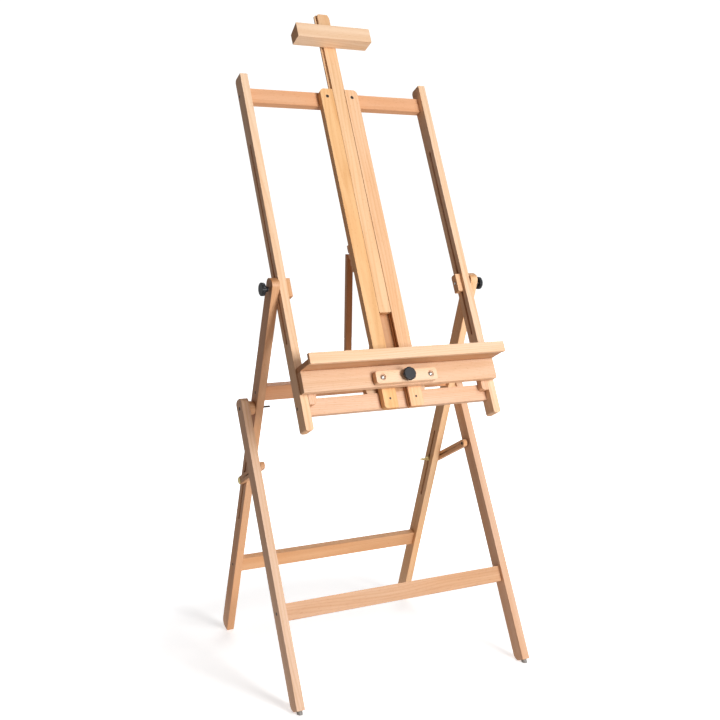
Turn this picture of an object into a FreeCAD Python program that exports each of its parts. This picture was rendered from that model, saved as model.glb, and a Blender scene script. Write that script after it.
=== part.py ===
import FreeCAD, Part
import math
import os

from FreeCAD import Placement, Rotation, Vector

# Folding artist's easel that tilts. Millimetres, +Z up, the painter stands on the -Y side.
# Origin: on the floor, midway between the left and right legs and between front and rear feet.
#
# Every wooden frame is built upright in its own plane (x across, n forward of the plane,
# s up along it) and is then leaned about its pivot line.

# --- stance -------------------------------------------------------------------------------
KNOB_Y = -65.6            # tilt axis, forward (-) of the middle of the base
KNOB_Z = 965.0            # tilt axis, above the floor
REAR_LEAN = 20.0          # degrees the rear legs lean forward going up
FRONT_LEAN = 26.2         # degrees the front legs lean back going up
PAINT_LEAN = 24.7         # degrees the painting frame leans back
LEG_PIVOT_DROP = 323.0    # leg pivot below the tilt axis, along the rear leg

# --- stock --------------------------------------------------------------------------------
STOCK = 20.0              # thickness of legs and uprights, across
LEG_DEPTH = 38.0          # depth of legs and uprights, in the side view
RAIL_HEIGHT = 40.0        # height of every cross rail
RAIL_THICK = 18.0         # thickness of the leg frames' cross rails
GAP = 0.3                 # air between wooden faces that move past each other

# --- rear leg frame -----------------------------------------------------------------------
REAR_OUT = 290.0          # outer face of a rear leg from the middle
REAR_TOP = 26.0           # rear leg above the tilt axis
REAR_TOP_R = 15.0
REAR_UPPER_RAIL = -280.0  # rail centres along the leg, from the tilt axis
REAR_LOWER_RAIL = -807.5
FOOT_R = 17.0             # rounded back corner of each foot
SLOT_TOP = 124.0          # strut slot ends below the leg pivot
SLOT_BOTTOM = 337.0
SLOT_WIDTH = 8.0

# --- front leg frame ----------------------------------------------------------------------
FRONT_OUT = 326.5
FRONT_TOP = 24.0          # front leg above the leg pivot
FRONT_TOP_R = 12.0
FRONT_BOTTOM = -734.0     # square end of the leg, from the leg pivot
FRONT_RAIL = -509.5
SPACER_R = 18.0
PIVOT_R = 2.5             # leg pivot bolt
PIVOT_END = 245.5         # its free end, from the middle
GLIDE_R = 7.0
GLIDE_N = 7.0

# --- struts -------------------------------------------------------------------------------
STRUT_FRONT_DROP = 150.0  # strut pivot on the front leg below the leg pivot
STRUT_REAR_DROP = 215.0   # strut bolt on the rear leg below the leg pivot
STRUT_WIDTH = 20.0
STRUT_THICK = 12.0
STRUT_GAP = 0.4           # air between a strut and the rear leg
STRUT_PIVOT_HEAD = 4.2
STRUT_PIVOT_R = 2.5
STRUT_BOLT_R = 2.5
DOME_R = 9.0
DOME_HEIGHT = 3.6

# --- painting frame -----------------------------------------------------------------------
PAINT_OUT = REAR_OUT - STOCK - GAP
PAINT_IN = PAINT_OUT - STOCK
PAINT_TOP = 576.0
PAINT_BOTTOM = -357.0
PAINT_TOP_RAIL = 525.5
PAINT_LOW_RAIL = -297.0
HALF_DEPTH = LEG_DEPTH / 2
PAINT_SLOT = (-142.0, 385.0)
PAINT_END_R = 9.0
PAINT_FOOT_R = 6.0         # rounded lower corners, seen from the front

# --- mast ---------------------------------------------------------------------------------
STILE_IN = 17.5
STILE_OUT = 54.5
STILE_TOP = 548.0
STILE_BOTTOM = -321.0
STILE_TOP_R = 13.0
STILE_END_R = 8.0
RUNNER_N = (7.2, 12.8)    # side groove in each stile that the slider's tongues run in
RUNNER_DEPTH = 5.8
FLOOR_HALF = 26.5         # board behind the stiles that closes the groove
FLOOR_THICK = 8.0
MAST_SCREW_X = 36.0
MAST_TOP_SCREW_R = 4.6    # head radius of the screws into the top rail
MAST_LOW_SCREW_R = 2.9

# --- rest blocks and prop -------------------------------------------------------------------
REST_X = (27.0, 45.0)
REST_DEPTH = 26.0
REST_S = (50.0, 120.5)
REST_BEVEL = 16.0
NOTCH_S = (64.0, 82.0, 100.0)
NOTCH_DEPTH = 4.5
PROP_PIVOT = (-245.0, -4.0)   # along and forward of the rear leg line, from the tilt axis
PROP_LEAN = 2.0
PROP_X = (28.5, 44.5)
PROP_HALF = 6.5
PROP_LENGTH = 307.0
PROP_RAIL_S = (262.0, 282.0)
PROP_PIN_R = 2.0
BRACKET_PLATE = 2.0
BRACKET_N = (-10.0, 2.0)

# --- slider and canvas block ----------------------------------------------------------------
SLIDER_HALF = 16.5
SLIDER_SHIFT = -0.5       # it hangs a little towards the left stile
TONGUE_HALF = 22.5
SLIDER_S = (-78.0, 774.5)
SLIDER_BACK = 0.8
SLIDER_FRONT = HALF_DEPTH + 0.4
TONGUE_N = (7.8, 12.2)
SLIDER_TOP_R = 6.0
SLIDER_END_R = 3.5
CANVAS_BLOCK_HALF = 107.0
CANVAS_BLOCK_S = (672.0, 712.0)
CANVAS_BLOCK_FRONT = 61.0
CANVAS_BLOCK_BACK_S = 701.0

# --- tray ---------------------------------------------------------------------------------
TRAY_HALF = 267.0
PANEL_N = (20.0, 40.3)
PANEL_S = (-272.0, -220.0)
SHELF_S = (-220.0, -207.5)
SHELF_FRONT = 91.5
LIP_S = (-222.0, -195.5)
LIP_FRONT = 102.5
GUIDE_X = (229.7, 249.2)
GUIDE_S = (-296.0, -238.0)
GUIDE_BACK = 0.6
CLAMP_HALF = 84.0
CLAMP_S = (-269.0, -238.0)
CLAMP_FRONT = 58.5
REAR_CLAMP_HALF = 82.0
REAR_CLAMP_S = (-276.0, -241.0)
REAR_CLAMP_N = (-FLOOR_THICK - 18.6, -FLOOR_THICK - 0.6)
TRAY_BOLT_X = 66.0
TRAY_BOLT_S = -253.5
TRAY_BOLT_R = 3.0
TRAY_HEAD_R = 5.6          # domed bolt heads, each standing in a shallow round recess
TRAY_HEAD_HEIGHT = 4.2
TRAY_RECESS = 2.2
TRAY_RECESS_R = 8.2

# --- clamps on the tilt axis ------------------------------------------------------------------
CLAMP_BOLT_R = 3.0
CLAMP_BLOCK_S = (-23.5, 23.5)
CLAMP_BLOCK_N = (-11.5, 9.0)
CLAMP_BLOCK_THICK = 14.5
BLOCK_IN = PAINT_IN - GAP - CLAMP_BLOCK_THICK
FIT = 0.05                # running clearance of a shaft in its bore, on the radius

# --- knobs --------------------------------------------------------------------------------
KNOB_R = 16.6
KNOB_HUB_R = 6.5
KNOB_HUB = 8.0
KNOB_HEAD = 9.5
KNOB_EDGE_R = 3.0
KNOB_LOBES = 8
KNOB_NOTCH_R = 5.0
KNOB_NOTCH_DEPTH = 1.7
COLLAR_R = 4.6            # steel collar between a clamp knob and the leg
COLLAR = 3.6

PARTS = "parts"


def polar(lean, along, forward=0.0):
    """Offset (y, z) of a point of a leaned frame; positive lean tips the top forward."""
    a = math.radians(lean)
    y = -forward * math.cos(a) - along * math.sin(a)
    z = along * math.cos(a) - forward * math.sin(a)
    return y, z


def leaned(lean, y, z):
    return Placement(Vector(0, y, z), Rotation(Vector(1, 0, 0), lean))


PIVOT_Y = KNOB_Y + polar(REAR_LEAN, -LEG_PIVOT_DROP)[0]
PIVOT_Z = KNOB_Z + polar(REAR_LEAN, -LEG_PIVOT_DROP)[1]
PROP_Y = KNOB_Y + polar(REAR_LEAN, *PROP_PIVOT)[0]
PROP_Z = KNOB_Z + polar(REAR_LEAN, *PROP_PIVOT)[1]

REAR = leaned(REAR_LEAN, KNOB_Y, KNOB_Z)
FRONT = leaned(-FRONT_LEAN, PIVOT_Y, PIVOT_Z)
PAINT = leaned(-PAINT_LEAN, KNOB_Y, KNOB_Z)
PROP = leaned(PROP_LEAN, PROP_Y, PROP_Z)

# The square end of a rear leg stands on its front corner.
REAR_BOTTOM = -(KNOB_Z - HALF_DEPTH * math.sin(math.radians(REAR_LEAN))) / math.cos(math.radians(REAR_LEAN))

nodes = {}


def put(name, *solids):
    """Keep the solids of one named piece, or of one group of equal fasteners."""
    nodes[name] = solids[0] if len(solids) == 1 else Part.makeCompound(list(solids))


def put_pair(name, shape, frame):
    """Place a piece of the right-hand side and its mirror image."""
    right = placed(shape, frame)
    put(name + "_right", right)
    put(name + "_left", mirrored(right))


def placed(shape, frame):
    out = shape.copy()
    out.Placement = frame.multiply(out.Placement)
    return out


def mirrored(shape):
    return shape.mirror(Vector(0, 0, 0), Vector(1, 0, 0))


def both_sides(shape, frame):
    right = placed(shape, frame)
    return right, mirrored(right)


# --- primitives in a frame's own plane --------------------------------------------------------

def box(x, s, n):
    return Part.makeBox(x[1] - x[0], n[1] - n[0], s[1] - s[0], Vector(x[0], -n[1], s[0]))


def prism(x, outline):
    """Outline of (s, n) points extruded across, from x[0] to x[1]."""
    points = [Vector(x[0], -n, s) for s, n in outline]
    face = Part.Face(Part.makePolygon(points + points[:1]))
    return face.extrude(Vector(x[1] - x[0], 0, 0))


def rod(x, s, n, radius):
    return Part.makeCylinder(radius, x[1] - x[0], Vector(x[0], -n, s), Vector(1, 0, 0))


def pin(x, s, n, radius):
    return Part.makeCylinder(radius, n[1] - n[0], Vector(x, -n[0], s), Vector(0, -1, 0))


def slot(x, s, n, width):
    """Round-ended slot through a leg, between the outer ends s[0] and s[1]."""
    r = width / 2
    low = rod(x, s[0] + r, n, r)
    high = rod(x, s[1] - r, n, r)
    return box(x, (s[0] + r, s[1] - r), (n - r, n + r)).fuse([low, high]).removeSplitter()


def round_edges(shape, along, corners, radius):
    """Round the edges that run along an axis and pass through the given (a, b) corners."""
    keep = []
    for edge in shape.Edges:
        a, b = edge.Vertexes[0].Point, edge.Vertexes[-1].Point
        span = b - a
        if abs(getattr(span, along)) < span.Length - 1e-6 or span.Length < 1e-6:
            continue
        here = {"x": (a.z, -a.y), "y": (a.x, a.z)}[along]
        if any(math.dist(here, corner) < 1e-3 for corner in corners):
            keep.append(edge)
    return shape.makeFillet(radius, keep)


# --- hardware -----------------------------------------------------------------------------

def screw_blank(length, head_r=4.0, shank_r=1.8):
    """Countersunk screw along -Z with its flat head at the origin, also used to cut its seat."""
    head = Part.makeCone(head_r, shank_r, 3.0, Vector(0, 0, 0), Vector(0, 0, -1))
    shank = Part.makeCylinder(shank_r, length, Vector(0, 0, 0), Vector(0, 0, -1))
    return head.fuse(shank).removeSplitter()


def screw_and_seat(direction, at, length, head_r=4.0, shank_r=1.8):
    """A screw with a cross recess in its head, and the blank that cuts its seat in the wood."""
    blank = screw_blank(length, head_r, shank_r)
    arm = 0.55 * head_r
    cross = Part.makeBox(2 * arm, 0.9, 1.2, Vector(-arm, -0.45, -1.2))
    cross = cross.fuse(Part.makeBox(0.9, 2 * arm, 1.2, Vector(-0.45, -arm, -1.2)))
    return facing(blank.cut(cross), direction, at), facing(blank, direction, at)


def domed_head(radius, height):
    """Mushroom head standing on the XY plane, with a low straight rim."""
    rim = 0.8
    cap = height - rim
    ball = (radius ** 2 + cap ** 2) / (2 * cap)
    sphere = Part.makeSphere(ball, Vector(0, 0, height - ball))
    return sphere.common(Part.makeCylinder(radius, height))


def coach_bolt(head_r, head_height, shank_r, length):
    """Domed bolt, head above the XY plane and shank below it."""
    shank = Part.makeCylinder(shank_r, length, Vector(0, 0, 0), Vector(0, 0, -1))
    return domed_head(head_r, head_height).fuse(shank).removeSplitter()


def star_knob(bore_r, bore_depth):
    """Lobed knob: hub from the XY plane up, then a fluted head with a crowned face."""
    head = Part.makeCylinder(KNOB_R, KNOB_HEAD, Vector(0, 0, KNOB_HUB))
    head = head.makeFillet(KNOB_EDGE_R, [e for e in head.Edges if len(e.Vertexes) == 1])
    for lobe in range(KNOB_LOBES):
        a = 2 * math.pi * (lobe + 0.5) / KNOB_LOBES
        out = KNOB_R + KNOB_NOTCH_R - KNOB_NOTCH_DEPTH
        at = Vector(out * math.cos(a), out * math.sin(a), KNOB_HUB - 1)
        head = head.cut(Part.makeCylinder(KNOB_NOTCH_R, KNOB_HEAD + 2, at))
    hub = Part.makeCone(KNOB_HUB_R, KNOB_HUB_R + 1.5, KNOB_HUB)
    knob = head.fuse(hub).removeSplitter()
    return knob.cut(Part.makeCylinder(bore_r, bore_depth))


def wing_nut(bore_r):
    """Hub standing on the XY plane with two raised wings along X."""
    flange = Part.makeCylinder(7.0, 1.5)
    hub = Part.makeCylinder(5.4, 8.0)
    outline = [Vector(4.2, 0, 2.2), Vector(9.0, 0, 4.0), Vector(14.0, 0, 9.5), Vector(14.0, 0, 12.5),
               Vector(10.5, 0, 13.5), Vector(7.0, 0, 8.2), Vector(4.2, 0, 7.2), Vector(4.2, 0, 2.2)]
    wing = Part.Face(Part.makePolygon(outline)).extrude(Vector(0, 2.8, 0))
    wing.translate(Vector(0, -1.4, 0))
    other = mirrored(wing)
    nut = hub.fuse([flange, wing, other]).removeSplitter()
    return nut.cut(Part.makeCylinder(bore_r, 20, Vector(0, 0, -1)))


def facing(shape, direction, at):
    """Turn a piece built along +Z to face a direction, and move it to a point (x, s, n)."""
    out = shape.copy()
    turn = Rotation(Vector(0, 0, 1), Vector(*direction))
    out.Placement = Placement(Vector(at[0], -at[2], at[1]), turn).multiply(out.Placement)
    return out


OUTWARD = (1, 0, 0)
INWARD = (-1, 0, 0)
FORWARD = (0, -1, 0)
BACKWARD = (0, 1, 0)


# --- rear leg frame -------------------------------------------------------------------------

def build_rear_frame():
    x = (REAR_OUT - STOCK, REAR_OUT)
    leg = box(x, (REAR_BOTTOM, REAR_TOP), (-HALF_DEPTH, HALF_DEPTH))
    leg = round_edges(leg, "x", [(REAR_TOP, HALF_DEPTH), (REAR_TOP, -HALF_DEPTH)], REAR_TOP_R)
    leg = round_edges(leg, "x", [(REAR_BOTTOM, -HALF_DEPTH)], FOOT_R)
    strut_slot = (-LEG_PIVOT_DROP - SLOT_BOTTOM, -LEG_PIVOT_DROP - SLOT_TOP)
    leg = leg.cut(slot((x[0] - 1, x[1] + 1), strut_slot, 0, SLOT_WIDTH))
    leg = leg.cut(rod((x[0] - 1, x[1] + 1), 0, 0, CLAMP_BOLT_R + FIT))
    leg = leg.cut(rod((x[0] - 1, x[1] + 1), -LEG_PIVOT_DROP, 0, PIVOT_R + FIT))
    screws = []
    rails = (("upper", REAR_UPPER_RAIL), ("lower", REAR_LOWER_RAIL))
    for name, centre in rails:
        half = REAR_OUT - STOCK
        rail = box((-half, half), (centre - RAIL_HEIGHT / 2, centre + RAIL_HEIGHT / 2),
                   (-RAIL_THICK / 2, RAIL_THICK / 2))
        screw, seat = screw_and_seat(OUTWARD, (REAR_OUT, centre, 0), 45)
        leg = leg.cut(seat)
        rail = rail.cut(seat).cut(mirrored(seat))
        screws.extend(both_sides(screw, REAR))
        put("rear_rail_" + name, placed(rail, REAR))
    put_pair("rear_leg", leg, REAR)
    put("rear_frame_screws", *screws)


def build_prop():
    top = REAR_UPPER_RAIL + RAIL_HEIGHT / 2
    along, forward = PROP_PIVOT
    x = PROP_X
    wide = (x[0] - 0.4 - BRACKET_PLATE, x[1] + 0.4 + BRACKET_PLATE)
    base = box(wide, (top, top + BRACKET_PLATE), BRACKET_N)
    ears = [box((wide[0], wide[0] + BRACKET_PLATE), (top, along + 6), BRACKET_N),
            box((wide[1] - BRACKET_PLATE, wide[1]), (top, along + 6), BRACKET_N)]
    bracket = base.fuse(ears).removeSplitter()
    ear_top = [(along + 6, BRACKET_N[0]), (along + 6, BRACKET_N[1])]
    bracket = round_edges(bracket, "x", ear_top, 5.5)
    bracket = bracket.cut(rod((wide[0] - 1, wide[1] + 1), along, forward, PROP_PIN_R + FIT))
    put("prop_hinge_brackets", *both_sides(bracket, REAR))

    bar = prism(x, [(-PROP_HALF, -PROP_HALF), (PROP_LENGTH, -PROP_HALF),
                    (PROP_LENGTH - 9, PROP_HALF), (-PROP_HALF, PROP_HALF)])
    bar = round_edges(bar, "x", [(-PROP_HALF, -PROP_HALF), (-PROP_HALF, PROP_HALF)], PROP_HALF - 0.1)
    bar = bar.cut(rod((x[0] - 1, x[1] + 1), 0, 0, PROP_PIN_R))
    put_pair("prop_bar", bar, PROP)
    put("prop_rail", placed(box((-x[0], x[0]), PROP_RAIL_S, (-PROP_HALF + 1, PROP_HALF - 1)), PROP))
    hinge_pin = rod((wide[0] - 1, wide[1] + 1), 0, 0, PROP_PIN_R)
    put("prop_hinge_pins", *both_sides(hinge_pin, PROP))


# --- front leg frame ------------------------------------------------------------------------

def build_front_frame():
    x = (FRONT_OUT - STOCK, FRONT_OUT)
    leg = box(x, (FRONT_BOTTOM, FRONT_TOP), (-HALF_DEPTH, HALF_DEPTH))
    leg = round_edges(leg, "x", [(FRONT_TOP, -HALF_DEPTH), (FRONT_TOP, HALF_DEPTH)], FRONT_TOP_R)
    leg = round_edges(leg, "x", [(FRONT_BOTTOM, -HALF_DEPTH)], FOOT_R + 1)

    bolt, seat = screw_and_seat(OUTWARD, (FRONT_OUT, 0, 0), FRONT_OUT - PIVOT_END, 5.0, PIVOT_R)
    leg = leg.cut(seat)
    spacer = rod((REAR_OUT + GAP, FRONT_OUT - STOCK), 0, 0, SPACER_R).cut(seat)

    inner = REAR_OUT + STRUT_GAP
    pivot, seat = screw_and_seat(INWARD, (inner, -STRUT_FRONT_DROP, 0), FRONT_OUT - 4 - inner,
                                 STRUT_PIVOT_HEAD, STRUT_PIVOT_R)
    leg = leg.cut(seat)

    half = FRONT_OUT - STOCK
    rail = box((-half, half), (FRONT_RAIL - RAIL_HEIGHT / 2, FRONT_RAIL + RAIL_HEIGHT / 2),
               (-RAIL_THICK / 2, RAIL_THICK / 2))
    screw, seat = screw_and_seat(OUTWARD, (FRONT_OUT, FRONT_RAIL, 0), 45)
    leg = leg.cut(seat)
    rail = rail.cut(seat).cut(mirrored(seat))

    # Nail-in glide, worn flat where it stands on the floor.
    glide = Part.makeCylinder(GLIDE_R, 20, Vector(FRONT_OUT - STOCK / 2, -GLIDE_N, FRONT_BOTTOM),
                              Vector(0, 0, -1))
    glide = placed(glide, FRONT)
    floor = Part.makeBox(2000, 2000, 100, Vector(-1000, -1000, -100))
    glide = glide.cut(floor)

    put_pair("front_leg", leg, FRONT)
    put("front_rail", placed(rail, FRONT))
    put("front_frame_screws", *both_sides(screw, FRONT))
    put("leg_pivot_spacers", *both_sides(spacer, FRONT))
    put("leg_pivot_bolts", *both_sides(bolt, FRONT))
    put("strut_pivot_screws", *both_sides(pivot, FRONT))
    put("front_foot_glides", glide, mirrored(glide))


def build_struts():
    fold = math.radians(REAR_LEAN + FRONT_LEAN)
    length = math.sqrt(STRUT_FRONT_DROP ** 2 + STRUT_REAR_DROP ** 2
                       - 2 * STRUT_FRONT_DROP * STRUT_REAR_DROP * math.cos(fold))
    front_y, front_z = polar(-FRONT_LEAN, -STRUT_FRONT_DROP)
    rear_y, rear_z = polar(REAR_LEAN, -STRUT_REAR_DROP)
    lean = math.degrees(math.atan2(front_y - rear_y, rear_z - front_z)) + 180
    strut_frame = leaned(lean, PIVOT_Y + front_y, PIVOT_Z + front_z)

    x0 = REAR_OUT + STRUT_GAP
    x = (x0, x0 + STRUT_THICK)
    r = STRUT_WIDTH / 2
    bar = slot(x, (-length - r, r), 0, STRUT_WIDTH)
    pivot_seat = facing(screw_blank(30, STRUT_PIVOT_HEAD + FIT, STRUT_PIVOT_R + FIT), INWARD, (x0, 0, 0))
    bolt = facing(coach_bolt(DOME_R, DOME_HEIGHT, STRUT_BOLT_R, x[1] - PIVOT_END + 2),
                  OUTWARD, (x[1], -length, 0))
    bar = bar.cut(pivot_seat).cut(bolt)
    nut = facing(wing_nut(STRUT_BOLT_R + FIT), INWARD, (REAR_OUT - STOCK - GAP, -length, 0))
    put_pair("strut", bar, strut_frame)
    put_pair("strut_bolt", bolt, strut_frame)
    put_pair("wing_nut", nut, strut_frame)


# --- clamps on the tilt axis ------------------------------------------------------------------

def build_clamps():
    knob_start = REAR_OUT + GAP + COLLAR
    bolt = rod((BLOCK_IN - 2, knob_start + KNOB_HUB + 4), 0, 0, CLAMP_BOLT_R)
    bolt = bolt.fuse(rod((REAR_OUT + GAP, knob_start), 0, 0, COLLAR_R)).removeSplitter()
    put_pair("clamp_bolt", bolt, PAINT)
    block = box((BLOCK_IN, PAINT_IN - GAP), CLAMP_BLOCK_S, CLAMP_BLOCK_N)
    block = round_edges(block, "x", [(CLAMP_BLOCK_S[1], CLAMP_BLOCK_N[0])], 6)
    block = block.cut(rod((BLOCK_IN - 1, PAINT_IN), 0, 0, CLAMP_BOLT_R + FIT))
    put_pair("clamp_block", block, PAINT)
    knob = facing(star_knob(CLAMP_BOLT_R + FIT, KNOB_HUB + 4.5), OUTWARD, (knob_start + FIT, 0, 0))
    put_pair("clamp_knob", knob, PAINT)


# --- painting frame ---------------------------------------------------------------------------

def build_painting_frame():
    x = (PAINT_IN, PAINT_OUT)
    upright = box(x, (PAINT_BOTTOM, PAINT_TOP), (-HALF_DEPTH, HALF_DEPTH))
    upright = round_edges(upright, "x", [(PAINT_TOP, -HALF_DEPTH)], PAINT_END_R)
    upright = round_edges(upright, "y", [(edge, PAINT_BOTTOM) for edge in x], PAINT_FOOT_R)
    upright = upright.cut(slot((x[0] - 1, x[1] + 1), PAINT_SLOT, 0, SLOT_WIDTH))
    screws = []
    for name, centre in (("top", PAINT_TOP_RAIL), ("bottom", PAINT_LOW_RAIL)):
        rail = box((-PAINT_IN, PAINT_IN), (centre - RAIL_HEIGHT / 2, centre + RAIL_HEIGHT / 2),
                   (-HALF_DEPTH, 0))
        screw, seat = screw_and_seat(OUTWARD, (PAINT_OUT, centre, -HALF_DEPTH / 2), 42)
        upright = upright.cut(seat)
        rail = rail.cut(seat).cut(mirrored(seat))
        screws.extend(both_sides(screw, PAINT))
        seat = mast_screw(centre)[1]
        rail = rail.cut(seat).cut(mirrored(seat))
        put("painting_rail_" + name, placed(rail, PAINT))
    put_pair("upright", upright, PAINT)
    put("upright_screws", *screws)


def mast_screw(centre):
    head_r = MAST_TOP_SCREW_R if centre > 0 else MAST_LOW_SCREW_R
    return screw_and_seat(FORWARD, (MAST_SCREW_X, centre, HALF_DEPTH), 32, head_r, 1.7)


def build_mast():
    stile = box((STILE_IN, STILE_OUT), (STILE_BOTTOM, STILE_TOP), (0, HALF_DEPTH))
    stile = round_edges(stile, "y", [(STILE_OUT, STILE_TOP)], STILE_TOP_R)
    stile = round_edges(stile, "y", [(STILE_OUT, STILE_BOTTOM)], STILE_END_R)
    runner = box((STILE_IN - 1, STILE_IN + RUNNER_DEPTH), (STILE_BOTTOM - 1, STILE_TOP + 1), RUNNER_N)
    stile = stile.cut(runner)
    screws = []
    for centre in (PAINT_TOP_RAIL, PAINT_LOW_RAIL):
        screw, seat = mast_screw(centre)
        stile = stile.cut(seat)
        screws.extend(both_sides(screw, PAINT))
    put_pair("mast_stile", stile, PAINT)
    put("mast_screws", *screws)
    between_rails = (PAINT_LOW_RAIL + RAIL_HEIGHT / 2, PAINT_TOP_RAIL - RAIL_HEIGHT / 2)
    floor = box((-FLOOR_HALF, FLOOR_HALF), between_rails, (-FLOOR_THICK, 0))
    put("mast_groove_floor", placed(floor, PAINT))

    block = prism(REST_X, [(REST_S[0] - REST_BEVEL, 0), (REST_S[0], -REST_DEPTH),
                           (REST_S[1], -REST_DEPTH), (REST_S[1], 0)])
    for at in NOTCH_S:
        block = block.cut(prism((REST_X[0] - 1, REST_X[1] + 1),
                                [(at - 9, -REST_DEPTH - 0.5), (at, -REST_DEPTH + NOTCH_DEPTH),
                                 (at + 1, -REST_DEPTH - 0.5)]))
    put_pair("rest_block", block, PAINT)


def build_slider():
    layers = []
    for half, n in ((SLIDER_HALF, (SLIDER_BACK, SLIDER_FRONT)), (TONGUE_HALF, TONGUE_N)):
        x = (SLIDER_SHIFT - half, SLIDER_SHIFT + half)
        layer = box(x, SLIDER_S, n)
        for s, radius in zip(SLIDER_S, (SLIDER_END_R, SLIDER_TOP_R)):
            layer = round_edges(layer, "y", [(x[0], s), (x[1], s)], radius)
        layers.append(layer)
    put("slider_bar", placed(layers[0].fuse(layers[1]).removeSplitter(), PAINT))
    low, high = CANVAS_BLOCK_S
    block = prism((-CANVAS_BLOCK_HALF, CANVAS_BLOCK_HALF),
                  [(low, SLIDER_FRONT), (low, CANVAS_BLOCK_FRONT), (high, CANVAS_BLOCK_FRONT),
                   (CANVAS_BLOCK_BACK_S, SLIDER_FRONT)])
    put("canvas_block_top", placed(block, PAINT))


# --- tray ---------------------------------------------------------------------------------

def build_tray():
    across = (-TRAY_HALF, TRAY_HALF)
    put("tray_shelf", placed(box(across, SHELF_S, (PANEL_N[0], SHELF_FRONT)), PAINT))
    put("tray_lip", placed(box(across, LIP_S, (SHELF_FRONT, LIP_FRONT)), PAINT))

    guide = box(GUIDE_X, GUIDE_S, (GUIDE_BACK, PANEL_N[0]))
    guide = round_edges(guide, "y", [(GUIDE_X[0], GUIDE_S[0])], 8)
    put_pair("tray_guide", guide, PAINT)

    bolt_length = CLAMP_FRONT - TRAY_RECESS - REAR_CLAMP_N[0] + 7
    bolt = facing(coach_bolt(TRAY_HEAD_R, TRAY_HEAD_HEIGHT, TRAY_BOLT_R, bolt_length), FORWARD,
                  (TRAY_BOLT_X, TRAY_BOLT_S, CLAMP_FRONT - TRAY_RECESS))
    bolts = [bolt, mirrored(bolt)]
    stud = pin(0, TRAY_BOLT_S, (PANEL_N[0] + 0.2, CLAMP_FRONT + GAP + KNOB_HUB + 4), TRAY_BOLT_R)
    stud_hole = pin(0, TRAY_BOLT_S, (PANEL_N[0] - 1, CLAMP_FRONT + 1), TRAY_BOLT_R + FIT)

    panel = box(across, PANEL_S, PANEL_N).cut(stud_hole)
    front_bar = box((-CLAMP_HALF, CLAMP_HALF), CLAMP_S, (PANEL_N[1], CLAMP_FRONT)).cut(stud_hole)
    ends = [(sign * CLAMP_HALF, s) for sign in (-1, 1) for s in CLAMP_S]
    front_bar = round_edges(front_bar, "y", ends, 7)
    recess_n = (CLAMP_FRONT - TRAY_RECESS, CLAMP_FRONT + 1)
    for sign in (-1, 1):
        recess = pin(sign * TRAY_BOLT_X, TRAY_BOLT_S, recess_n, TRAY_RECESS_R)
        front_bar = front_bar.cut(recess)
    rear_bar = box((-REAR_CLAMP_HALF, REAR_CLAMP_HALF), REAR_CLAMP_S, REAR_CLAMP_N)
    ends = [(sign * REAR_CLAMP_HALF, s) for sign in (-1, 1) for s in REAR_CLAMP_S]
    rear_bar = round_edges(rear_bar, "y", ends, 6)
    for bolt in bolts:
        panel = panel.cut(bolt)
        front_bar = front_bar.cut(bolt)
        rear_bar = rear_bar.cut(bolt)
    put("tray_panel", placed(panel, PAINT))
    put("tray_clamp_bar_front", placed(front_bar, PAINT))
    put("tray_clamp_bar_rear", placed(rear_bar, PAINT))
    put("tray_clamp_bolts", *[placed(bolt, PAINT) for bolt in bolts])

    nut = Part.makeCylinder(7.5, 1.2)
    hexagon = [Vector(5.8 * math.cos(math.radians(60 * i)), 5.8 * math.sin(math.radians(60 * i)), 1.2)
               for i in range(7)]
    nut = nut.fuse(Part.Face(Part.makePolygon(hexagon)).extrude(Vector(0, 0, 4.2))).removeSplitter()
    nut = nut.cut(Part.makeCylinder(TRAY_BOLT_R, 10, Vector(0, 0, -1)))
    nut = facing(nut, BACKWARD, (TRAY_BOLT_X, TRAY_BOLT_S, REAR_CLAMP_N[0]))
    put("tray_clamp_nuts", *both_sides(nut, PAINT))

    knob = facing(star_knob(TRAY_BOLT_R, KNOB_HUB + 4.5), FORWARD, (0, TRAY_BOLT_S, CLAMP_FRONT + GAP))
    put("tray_knob", placed(knob, PAINT))
    put("tray_knob_stud", placed(stud, PAINT))


build_rear_frame()
build_prop()
build_front_frame()
build_struts()
build_clamps()
build_painting_frame()
build_mast()
build_slider()
build_tray()

os.makedirs(PARTS, exist_ok=True)
for name, shape in nodes.items():
    shape.exportStep(os.path.join(PARTS, name + ".step"))
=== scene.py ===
import math

import bpy
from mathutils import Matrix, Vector

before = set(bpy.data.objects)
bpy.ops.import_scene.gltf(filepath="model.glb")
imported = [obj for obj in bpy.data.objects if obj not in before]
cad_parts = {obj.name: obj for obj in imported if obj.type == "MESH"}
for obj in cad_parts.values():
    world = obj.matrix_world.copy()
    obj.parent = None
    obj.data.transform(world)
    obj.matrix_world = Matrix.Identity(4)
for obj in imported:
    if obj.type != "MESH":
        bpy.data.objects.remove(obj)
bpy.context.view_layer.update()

# --- wood: lean of the piece, grain direction, tint -----------------------------------------------
REAR_LEAN = 20.0          # degrees from vertical, positive where the top leans forward
FRONT_LEAN = -26.2
PAINT_LEAN = -24.7
PROP_LEAN = 2.0
STRUT_LEAN = 64.3
ALONG, ACROSS = "along", "across"     # which way the grain runs in a leaned frame

HONEY = (0.765, 0.482, 0.236)
STRAW = (0.760, 0.520, 0.315)
PEACH = (0.765, 0.500, 0.305)
PALE = (0.780, 0.585, 0.415)
CREAM = (0.770, 0.570, 0.410)
ROSE = (0.700, 0.400, 0.230)
AMBER = (0.620, 0.365, 0.195)
TAN = (0.560, 0.325, 0.180)
FAWN = (0.660, 0.455, 0.310)
BLUSH = (0.690, 0.470, 0.330)
RUSSET = (0.600, 0.370, 0.220)
# Painted shade: a darker, redder beech tint standing in for the shade under the tray shelf.
UMBER_WITH_PAINTED_SHADE = (0.510, 0.285, 0.155)

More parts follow.
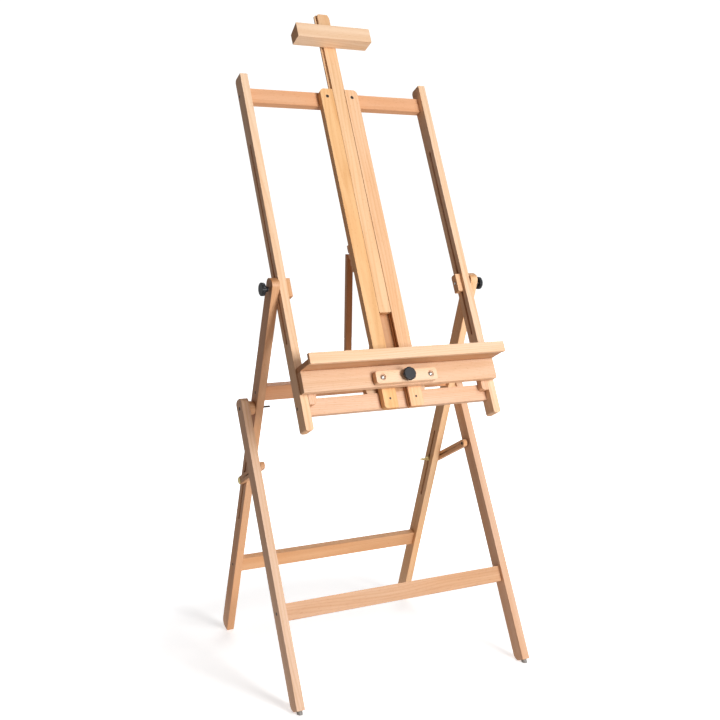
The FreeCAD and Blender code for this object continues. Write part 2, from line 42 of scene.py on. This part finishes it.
# A board's place in this list also decides where in the tree it was sawn.
WOOD = {
    "rear_leg_left": (REAR_LEAN, ALONG, RUSSET),
    "rear_leg_right": (REAR_LEAN, ALONG, STRAW),
    # Painted shade: the upper rear rail takes the darker rose tint for the shade it lies in.
    "rear_rail_upper": (REAR_LEAN, ACROSS, ROSE),
    "rear_rail_lower": (REAR_LEAN, ACROSS, AMBER),
    "front_leg_left": (FRONT_LEAN, ALONG, FAWN),
    "front_leg_right": (FRONT_LEAN, ALONG, BLUSH),
    "front_rail": (FRONT_LEAN, ACROSS, RUSSET),
    "leg_pivot_spacers": (FRONT_LEAN, ACROSS, PEACH),
    "strut_left": (STRUT_LEAN, ALONG, RUSSET),
    "strut_right": (STRUT_LEAN, ALONG, PEACH),
    "prop_bar_left": (PROP_LEAN, ALONG, TAN),
    "prop_bar_right": (PROP_LEAN, ALONG, TAN),
    "prop_rail": (PROP_LEAN, ACROSS, TAN),
    "clamp_block_left": (PAINT_LEAN, ALONG, AMBER),
    "clamp_block_right": (PAINT_LEAN, ALONG, PEACH),
    "upright_left": (PAINT_LEAN, ALONG, PALE),
    "upright_right": (PAINT_LEAN, ALONG, PALE),
    "painting_rail_top": (PAINT_LEAN, ACROSS, ROSE),
    "painting_rail_bottom": (PAINT_LEAN, ACROSS, BLUSH),
    "mast_stile_left": (PAINT_LEAN, ALONG, HONEY),
    "mast_stile_right": (PAINT_LEAN, ALONG, PEACH),
    "mast_groove_floor": (PAINT_LEAN, ALONG, TAN),
    "rest_block_left": (PAINT_LEAN, ALONG, PEACH),
    "rest_block_right": (PAINT_LEAN, ALONG, PEACH),
    "slider_bar": (PAINT_LEAN, ALONG, STRAW),
    "canvas_block_top": (PAINT_LEAN, ACROSS, PALE),
    # Painted shade: the tray shelf takes the darker umber tint for the shade beneath it.
    "tray_shelf": (PAINT_LEAN, ACROSS, UMBER_WITH_PAINTED_SHADE),
    "tray_lip": (PAINT_LEAN, ACROSS, CREAM),
    "tray_panel": (PAINT_LEAN, ACROSS, FAWN),
    "tray_guide_left": (PAINT_LEAN, ALONG, BLUSH),
    "tray_guide_right": (PAINT_LEAN, ALONG, BLUSH),
    "tray_clamp_bar_front": (PAINT_LEAN, ACROSS, CREAM),
    "tray_clamp_bar_rear": (PAINT_LEAN, ACROSS, PALE),
}

# --- beech: sizes in metres, how strongly each mark shows, and colour factors -----------------------
ARRIS = 0.0009            # rounding of every wooden edge
ARRIS_ANGLE = 35.0        # degrees between faces from which an edge is rounded
RING_SPACING = 0.0034     # growth rings
RING_WANDER = 0.034       # how far the rings stray along the board
PITH_OFFSET = 0.11        # how far from the tree's middle each piece was sawn
BOARD_BEARING = 2.4       # steps from one board to the next, about the tree and along it
BOARD_STEP = 0.73
EDGE_SHIFT_REACH = 0.0016       # how far in from an edge the colour is shifted
NOOK_PAINTED_SHADE_REACH = 0.012        # how far out of a joint or slot the painted shade reaches

RING_SHARE = 0.30
STREAK_SHARE = 0.48
FIBRE_SHARE = 0.30
CLOUD_SHARE = 0.55
FLECK_SHARE = 0.55
END_SHARE = 0.75
EDGE_SHIFT_SHARE = 0.60
# strength of the painted shade in joints, slots and recesses
NOOK_PAINTED_SHADE_SHARE = 0.80

EARLY_WOOD = (1.06, 1.08, 1.11)
LATE_WOOD = (0.87, 0.75, 0.61)
WARM_PATCH = (1.02, 0.90, 0.74)
RAY_FLECK = (0.80, 0.66, 0.52)
SAWN_END = (0.84, 0.72, 0.58)
EDGE_SHIFT_FACTORS = (0.93, 0.74, 0.58)
# colour factor of the painted shade in joints, slots and recesses
NOOK_PAINTED_SHADE = (0.46, 0.27, 0.17)

# --- metal and plastic ----------------------------------------------------------------------------
RIM = 0.0006              # width of the rubbed rim on metal and plastic, metres
SEAT_PAINTED_SHADE_REACH = 0.005        # how far the painted shade reaches from where a part is seated
# colour factor of the painted shade around a part's seat
SEAT_PAINTED_SHADE = (0.22, 0.19, 0.16)

# --- floor, light and camera ------------------------------------------------------------------------
WHITE = (1.0, 1.0, 1.0)
FLOOR_HALF = 7.0
FLOOR_TONES = (0.93, 0.97)
PAINTED_GLOW_RADII = (0.50, 0.95)         # the floor's painted glow rises between these distances from the middle
PAINTED_GLOW_STRENGTHS = (0.50, 1.10)
PAINTED_GLOW_COLOR = (0.93, 1.0, 1.04)    # tint of the painted glow; cancels the warm ambient light, so shadows stay grey

CAMERA_PLACE = (-1.24606, -2.38544, 1.11332)
CAMERA_DOWN = 7.264       # degrees
CAMERA_YAW = -27.37
CAMERA_LENS = 52.405


# --- node helpers -----------------------------------------------------------------------------------

def node(tree, kind, sockets=None, **settings):
    """Add a node, set its properties, and set or link its inputs."""
    made = tree.nodes.new(kind)
    for key, value in settings.items():
        setattr(made, key, value)
    for key, value in (sockets or {}).items():
        if isinstance(value, bpy.types.NodeSocket):
            tree.links.new(value, made.inputs[key])
        else:
            made.inputs[key].default_value = value
    return made


def math_node(tree, operation, a, b=0.0, clamp=False):
    made = node(tree, "ShaderNodeMath", {0: a, 1: b}, operation=operation, use_clamp=clamp)
    return made.outputs[0]


def scaled(tree, value, factor):
    return math_node(tree, "MULTIPLY", value, factor)


def vector_node(tree, operation, a, b):
    return node(tree, "ShaderNodeVectorMath", {0: a, 1: b}, operation=operation).outputs["Vector"]


def stretched(tree, vector, along):
    """Scale a pattern along the grain, which is the board's own Z; under 1 draws it out."""
    return vector_node(tree, "MULTIPLY", vector, (1.0, 1.0, along))


def length(tree, vector):
    return node(tree, "ShaderNodeVectorMath", {0: vector}, operation="LENGTH").outputs["Value"]


def rotated(tree, vector, rotation):
    sockets = {"Vector": vector, "Rotation": rotation}
    return node(tree, "ShaderNodeVectorRotate", sockets, rotation_type="EULER_XYZ").outputs[0]


def noise(tree, vector, scale, detail=2.0, roughness=0.5):
    sockets = {"Vector": vector, "Scale": scale, "Detail": detail, "Roughness": roughness}
    return node(tree, "ShaderNodeTexNoise", sockets).outputs[0]


def ramp(tree, value, low, high, to_low=0.0, to_high=1.0):
    sockets = {"Value": value, "From Min": low, "From Max": high, "To Min": to_low, "To Max": to_high}
    return node(tree, "ShaderNodeMapRange", sockets, interpolation_type="SMOOTHSTEP").outputs[0]


def mixed(tree, factor, a, b, blend="MIX"):
    made = node(tree, "ShaderNodeMix", data_type="RGBA", blend_type=blend)
    for socket, value in ((made.inputs[0], factor), (made.inputs[6], a), (made.inputs[7], b)):
        if isinstance(value, bpy.types.NodeSocket):
            tree.links.new(value, socket)
        else:
            socket.default_value = value
    return made.outputs[2]


def times(tree, color, factors):
    return mixed(tree, 1.0, color, (*factors, 1.0), "MULTIPLY")


def toward(tree, amount, color, factors):
    """The colour, moved by that amount toward itself times the factors."""
    return mixed(tree, amount, color, times(tree, color, factors))


def edge_mask(tree, radius, low, high):
    """1 on edges sharper than the rounding radius, 0 on flat faces."""
    flat = node(tree, "ShaderNodeNewGeometry").outputs["Normal"]
    round_normal = node(tree, "ShaderNodeBevel", {"Radius": radius}, samples=4).outputs[0]
    facing = node(tree, "ShaderNodeVectorMath", {0: flat, 1: round_normal}, operation="DOT_PRODUCT")
    return ramp(tree, math_node(tree, "SUBTRACT", 1.0, facing.outputs["Value"]), low, high)


def openness(tree, reach):
    """1 on open faces, less where another surface is within reach."""
    return node(tree, "ShaderNodeAmbientOcclusion", {"Distance": reach}, samples=4).outputs["AO"]


def relief(tree, height, strength, depth):
    sockets = {"Strength": strength, "Distance": depth, "Height": height}
    return node(tree, "ShaderNodeBump", sockets).outputs[0]


def new_group(name, inputs, outputs):
    tree = bpy.data.node_groups.new(name, "ShaderNodeTree")
    for side, sockets in (("INPUT", inputs), ("OUTPUT", outputs)):
        for label, kind in sockets:
            tree.interface.new_socket(name=label, in_out=side, socket_type="NodeSocket" + kind)
    return tree, node(tree, "NodeGroupInput").outputs, node(tree, "NodeGroupOutput").inputs


def new_material(name):
    material = bpy.data.materials.new(name)
    material.use_nodes = True
    tree = material.node_tree
    tree.nodes.clear()
    shader = node(tree, "ShaderNodeBsdfPrincipled")
    node(tree, "ShaderNodeOutputMaterial", {"Surface": shader.outputs[0]})
    return material, tree, shader


# --- beech ------------------------------------------------------------------------------------------

def growth_rings(tree, sawn):
    """Rings about the tree's middle, wandering slowly along the board."""
    slow = stretched(tree, sawn, along=0.10)
    warp = math_node(tree, "SUBTRACT", noise(tree, slow, scale=13.0), 0.5)
    out = length(tree, stretched(tree, sawn, along=0.0))
    out = math_node(tree, "ADD", out, scaled(tree, warp, RING_WANDER))
    phase = scaled(tree, out, 2 * math.pi / RING_SPACING)
    return ramp(tree, math_node(tree, "SINE", phase), -0.2, 1.0)


def grain_color(tree, tint, sawn, ring, fibre, fleck, cloud):
    """Early and late wood with broad streaks, warm patches and ray flecks."""
    streak = noise(tree, stretched(tree, sawn, along=0.045), scale=55.0, detail=3.0, roughness=0.55)
    streak = ramp(tree, streak, 0.32, 0.70)
    late = math_node(tree, "ADD", scaled(tree, ring, RING_SHARE), scaled(tree, streak, STREAK_SHARE))
    late = math_node(tree, "ADD", late, scaled(tree, fibre, FIBRE_SHARE), clamp=True)
    color = mixed(tree, late, times(tree, tint, EARLY_WOOD), times(tree, tint, LATE_WOOD))
    color = toward(tree, ramp(tree, cloud, 0.38, 0.72, 0.0, CLOUD_SHARE), color, WARM_PATCH)
    return toward(tree, scaled(tree, fleck, FLECK_SHARE), color, RAY_FLECK)


def build_beech():
    """Growth rings, broad streaks, fibres and ray flecks of one board, in the board's own axes."""
    tree, given, result = new_group(
        "beech_figure",
        (("Turn", "Vector"), ("Sawn from", "Vector"), ("Tint", "Color")),
        (("Color", "Color"), ("Roughness", "Float"), ("Normal", "Vector")))
    coordinates = node(tree, "ShaderNodeTexCoord").outputs
    board = rotated(tree, coordinates["Object"], given["Turn"])
    sawn = vector_node(tree, "ADD", board, given["Sawn from"])

    ring = growth_rings(tree, sawn)
    cloud = noise(tree, stretched(tree, sawn, along=0.30), scale=11.0)
    fibre = noise(tree, stretched(tree, sawn, along=0.012), scale=850.0, detail=3.0, roughness=0.6)
    fleck = noise(tree, stretched(tree, sawn, along=0.13), scale=900.0, detail=0.0)
    fleck = ramp(tree, fleck, 0.70, 0.78)
    color = grain_color(tree, given["Tint"], sawn, ring, fibre, fleck, cloud)

    # Sawn ends drink more finish: darker, rougher.
    normal = rotated(tree, coordinates["Normal"], given["Turn"])
    along = node(tree, "ShaderNodeSeparateXYZ", {0: normal}).outputs["Z"]
    end = ramp(tree, math_node(tree, "ABSOLUTE", along), 0.75, 0.95)
    color = toward(tree, scaled(tree, end, END_SHARE), color, SAWN_END)

    # Colour moved a little darker and redder along the arrises.
    arris_mask = edge_mask(tree, EDGE_SHIFT_REACH, 0.03, 0.22)
    edge_shift = scaled(tree, arris_mask, ramp(tree, cloud, 0.30, 0.60, 0.5, 1.0))
    color = toward(tree, scaled(tree, edge_shift, EDGE_SHIFT_SHARE), color, EDGE_SHIFT_FACTORS)

    # Painted shade: joints, slots and recesses are darkened where other surfaces are near, standing in
    # for the shade that falls there.
    nook_painted_shade = ramp(tree, openness(tree, NOOK_PAINTED_SHADE_REACH), 0.15, 0.80, 1.0, 0.0)
    color = toward(tree, scaled(tree, nook_painted_shade, NOOK_PAINTED_SHADE_SHARE), color, NOOK_PAINTED_SHADE)
    tree.links.new(color, result["Color"])

    rough = ramp(tree, fibre, 0.25, 0.75, 0.44, 0.58)
    rough = math_node(tree, "ADD", rough, scaled(tree, end, 0.12))
    rough = math_node(tree, "SUBTRACT", rough, scaled(tree, edge_shift, 0.06))
    tree.links.new(rough, result["Roughness"])

    height = math_node(tree, "ADD", scaled(tree, ring, 0.25), fibre)
    height = math_node(tree, "SUBTRACT", height, scaled(tree, fleck, 0.8))
    tree.links.new(relief(tree, height, strength=0.12, depth=0.0004), result["Normal"])
    return tree


BEECH = build_beech()


def beech(name, lean, grain, tint, number):
    """One board's material: the grain runs its own way and starts at its own place in the tree."""
    material, tree, shader = new_material("beech_" + name)
    bearing = BOARD_BEARING * number
    figure = node(tree, "ShaderNodeGroup", node_tree=BEECH)
    figure.inputs["Turn"].default_value = (
        math.radians(-lean), 0.0 if grain == ALONG else math.radians(-90.0), 0.0)
    figure.inputs["Sawn from"].default_value = (
        PITH_OFFSET * math.cos(bearing), PITH_OFFSET * math.sin(bearing), BOARD_STEP * number)
    figure.inputs["Tint"].default_value = (*tint, 1.0)
    for label, socket in (("Color", "Base Color"), ("Roughness", "Roughness"), ("Normal", "Normal")):
        tree.links.new(figure.outputs[label], shader.inputs[socket])
    shader.inputs["Specular IOR Level"].default_value = 0.35
    shader.inputs["Coat Weight"].default_value = 0.06
    shader.inputs["Coat Roughness"].default_value = 0.35
    return material


# --- metal and plastic ------------------------------------------------------------------------------

def hardware(name, base, worn, metallic, roughness, grain=600.0, bump=0.05, specular=0.5):
    """Turned or moulded part: mottled finish, rubbed rims, painted shade at its seat, fine bump."""
    material, tree, shader = new_material(name)
    where = node(tree, "ShaderNodeTexCoord").outputs["Object"]
    mottle = noise(tree, where, scale=260.0, detail=3.0, roughness=0.6)
    fine = noise(tree, where, scale=grain, detail=2.0, roughness=0.6)
    dull = [channel * 0.80 for channel in base]
    color = mixed(tree, ramp(tree, mottle, 0.35, 0.70), (*base, 1.0), (*dull, 1.0))
    edge_shift = scaled(tree, edge_mask(tree, RIM, 0.03, 0.25), ramp(tree, mottle, 0.35, 0.6))
    color = mixed(tree, scaled(tree, edge_shift, 0.7), color, (*worn, 1.0))
    # Painted shade: darker where the part sits in a recess or close to another surface.
    seat_painted_shade = ramp(tree, openness(tree, SEAT_PAINTED_SHADE_REACH), 0.25, 0.90, 0.85, 0.0)
    tree.links.new(toward(tree, seat_painted_shade, color, SEAT_PAINTED_SHADE), shader.inputs["Base Color"])
    rough = ramp(tree, fine, 0.3, 0.7, roughness - 0.06, roughness + 0.08)
    tree.links.new(rough, shader.inputs["Roughness"])
    shader.inputs["Metallic"].default_value = metallic
    shader.inputs["Specular IOR Level"].default_value = specular
    tree.links.new(relief(tree, fine, strength=bump, depth=0.0002), shader.inputs["Normal"])
    return material


FINISHES = {
    "brass_hardware": hardware("brass_hardware_finish", base=(0.74, 0.60, 0.30),
                               worn=(0.90, 0.80, 0.50), metallic=1.0, roughness=0.30),
    "zinc_steel": hardware("zinc_steel_finish", base=(0.56, 0.55, 0.53),
                           worn=(0.80, 0.79, 0.76), metallic=1.0, roughness=0.30),
    "dark_screw": hardware("dark_screw_finish", base=(0.070, 0.055, 0.045),
                           worn=(0.30, 0.25, 0.20), metallic=0.9, roughness=0.42),
    "black_plastic": hardware("black_plastic_moulded", base=(0.012, 0.014, 0.018),
                              worn=(0.045, 0.05, 0.058), metallic=0.0, roughness=0.40,
                              grain=2200.0, bump=0.10, specular=0.30),
    "grey_glide": hardware("grey_glide_moulded", base=(0.24, 0.235, 0.225),
                           worn=(0.34, 0.33, 0.32), metallic=0.0, roughness=0.50, grain=1500.0),
}


# --- edges: rounded arrises on the CAD nodes, by modifiers only ---------------------------------------

def build_smoother():
    tree = bpy.data.node_groups.new("smooth_faces", "GeometryNodeTree")
    for side in ("INPUT", "OUTPUT"):
        tree.interface.new_socket(name="Geometry", in_out=side, socket_type="NodeSocketGeometry")
    start = tree.nodes.new("NodeGroupInput")
    smooth = tree.nodes.new("GeometryNodeSetShadeSmooth")
    end = tree.nodes.new("NodeGroupOutput")
    tree.links.new(start.outputs[0], smooth.inputs["Geometry"])
    tree.links.new(smooth.outputs[0], end.inputs[0])
    return tree


SMOOTHER = build_smoother()


def soften(obj):
    """Weld the faces into one skin, round its edges, and shade the flats flat."""
    weld = obj.modifiers.new("one_skin", "WELD")
    weld.merge_threshold = 0.00001
    bevel = obj.modifiers.new("arris", "BEVEL")
    bevel.width = ARRIS
    bevel.segments = 2
    bevel.limit_method = "ANGLE"
    bevel.angle_limit = math.radians(ARRIS_ANGLE)
    bevel.use_clamp_overlap = True
    smooth = obj.modifiers.new("smooth", "NODES")
    smooth.node_group = SMOOTHER
    normals = obj.modifiers.new("flat_faces", "WEIGHTED_NORMAL")
    normals.keep_sharp = False
    normals.weight = 100


# --- put the finishes on ------------------------------------------------------------------------------

for number, (name, (lean, grain, tint)) in enumerate(WOOD.items(), start=1):
    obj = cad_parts[name]
    finish = beech(name, lean, grain, tint, number)
    for slot in obj.material_slots:
        slot.material = finish
    soften(obj)

for name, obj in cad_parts.items():
    if name in WOOD:
        continue
    for slot in obj.material_slots:
        slot.material = FINISHES[slot.material.name]


# --- floor, light, camera -----------------------------------------------------------------------------

def build_floor():
    """Pale paper with painted light: it glows by itself, and glows whiter away from the easel's feet.
    """
    mesh = bpy.data.meshes.new("studio_floor")
    corners = [(x * FLOOR_HALF, y * FLOOR_HALF, 0) for x, y in ((-1, -1), (1, -1), (1, 1), (-1, 1))]
    mesh.from_pydata(corners, [], [(0, 1, 2, 3)])
    floor = bpy.data.objects.new("studio_floor", mesh)
    bpy.context.scene.collection.objects.link(floor)
    material, tree, shader = new_material("studio_floor_paper")
    where = node(tree, "ShaderNodeTexCoord").outputs["Object"]
    low, high = [(tone, tone, tone, 1.0) for tone in FLOOR_TONES]
    tone = mixed(tree, noise(tree, where, scale=6.0, detail=3.0), low, high)
    tree.links.new(tone, shader.inputs["Base Color"])
    # Painted light: the floor emits light of its own, weaker near the easel's feet, so its shadows show
    # only there.
    painted_glow = ramp(tree, length(tree, where), *PAINTED_GLOW_RADII, *PAINTED_GLOW_STRENGTHS)
    tree.links.new(painted_glow, shader.inputs["Emission Strength"])
    shader.inputs["Emission Color"].default_value = (*PAINTED_GLOW_COLOR, 1.0)
    shader.inputs["Roughness"].default_value = 1.0
    shader.inputs["Specular IOR Level"].default_value = 0.0
    mesh.materials.append(material)
    # The floor's bounce on the object is a soft light of its own, below.
    floor.visible_diffuse = False
    floor.visible_glossy = False
    floor.visible_shadow = False


def hang_light(data, name, source):
    """Put a light in the scene; source is the vector from what it lights back to the light."""
    light = bpy.data.objects.new(name, data)
    light.rotation_euler = source.to_track_quat("Z", "Y").to_euler()
    bpy.context.scene.collection.objects.link(light)
    return light


def sun(name, azimuth, elevation, strength, softness, color=WHITE):
    """Distant soft light; azimuth is from the front (-Y) towards the right (+X), in degrees."""
    data = bpy.data.lights.new(name, "SUN")
    data.energy = strength
    data.angle = math.radians(softness)
    data.color = color
    a, e = math.radians(azimuth), math.radians(elevation)
    source = Vector((math.sin(a) * math.cos(e), -math.cos(a) * math.cos(e), math.sin(e)))
    hang_light(data, name, source)


def panel_light(name, place, aim, size, power, color=WHITE):
    """Soft light of that width and height at a place, facing a point."""
    data = bpy.data.lights.new(name, "AREA")
    data.shape = "RECTANGLE"
    data.size, data.size_y = size
    data.energy = power
    data.color = color
    hang_light(data, name, Vector(place) - Vector(aim)).location = place


def background(tree, color, strength):
    return node(tree, "ShaderNodeBackground", {"Color": (*color, 1.0), "Strength": strength}).outputs[0]


def switched(tree, factor, off, on):
    return node(tree, "ShaderNodeMixShader", {0: factor, 1: off, 2: on}).outputs[0]


def build_world(backdrop, gloss, ambient, ambient_color):
    """White behind the object and in its reflections, and a dimmer even light on it."""
    world = bpy.data.worlds.new("studio")
    bpy.context.scene.world = world
    world.use_nodes = True
    tree = world.node_tree
    tree.nodes.clear()
    seen = background(tree, WHITE, backdrop)
    lit = background(tree, ambient_color, ambient)
    shine = background(tree, WHITE, gloss)
    path = node(tree, "ShaderNodeLightPath").outputs
    around = switched(tree, path["Is Glossy Ray"], lit, shine)
    around = switched(tree, path["Is Camera Ray"], around, seen)
    node(tree, "ShaderNodeOutputWorld", {"Surface": around})


build_floor()
build_world(backdrop=1.1, gloss=0.6, ambient=0.16, ambient_color=(1.0, 0.71, 0.57))
panel_light("key", place=(0.60, -2.95, 1.40), aim=(0.0, 0.0, 2.60), size=(0.9, 1.2), power=99.0)
sun("top_fill", azimuth=28.0, elevation=34.0, strength=0.65, softness=26.0)
sun("low_fill", azimuth=6.0, elevation=-38.0, strength=0.70, softness=60.0, color=(1.0, 0.92, 0.86))
sun("back_fill", azimuth=150.0, elevation=20.0, strength=1.5, softness=40.0)
panel_light("floor_bounce", place=(-0.35, -0.30, -0.02), aim=(-0.35, -0.30, 1.0), size=(1.7, 1.7),
            power=5.0, color=(1.0, 0.88, 0.80))

camera_data = bpy.data.cameras.new("camera")
camera_data.sensor_width = 36.0
camera_data.lens = CAMERA_LENS
camera = bpy.data.objects.new("camera", camera_data)
camera.location = CAMERA_PLACE
camera.rotation_euler = (math.radians(90.0 - CAMERA_DOWN), 0.0, math.radians(CAMERA_YAW))
bpy.context.scene.collection.objects.link(camera)
bpy.context.scene.camera = camera
bpy.context.scene.view_settings.view_transform = "Standard"
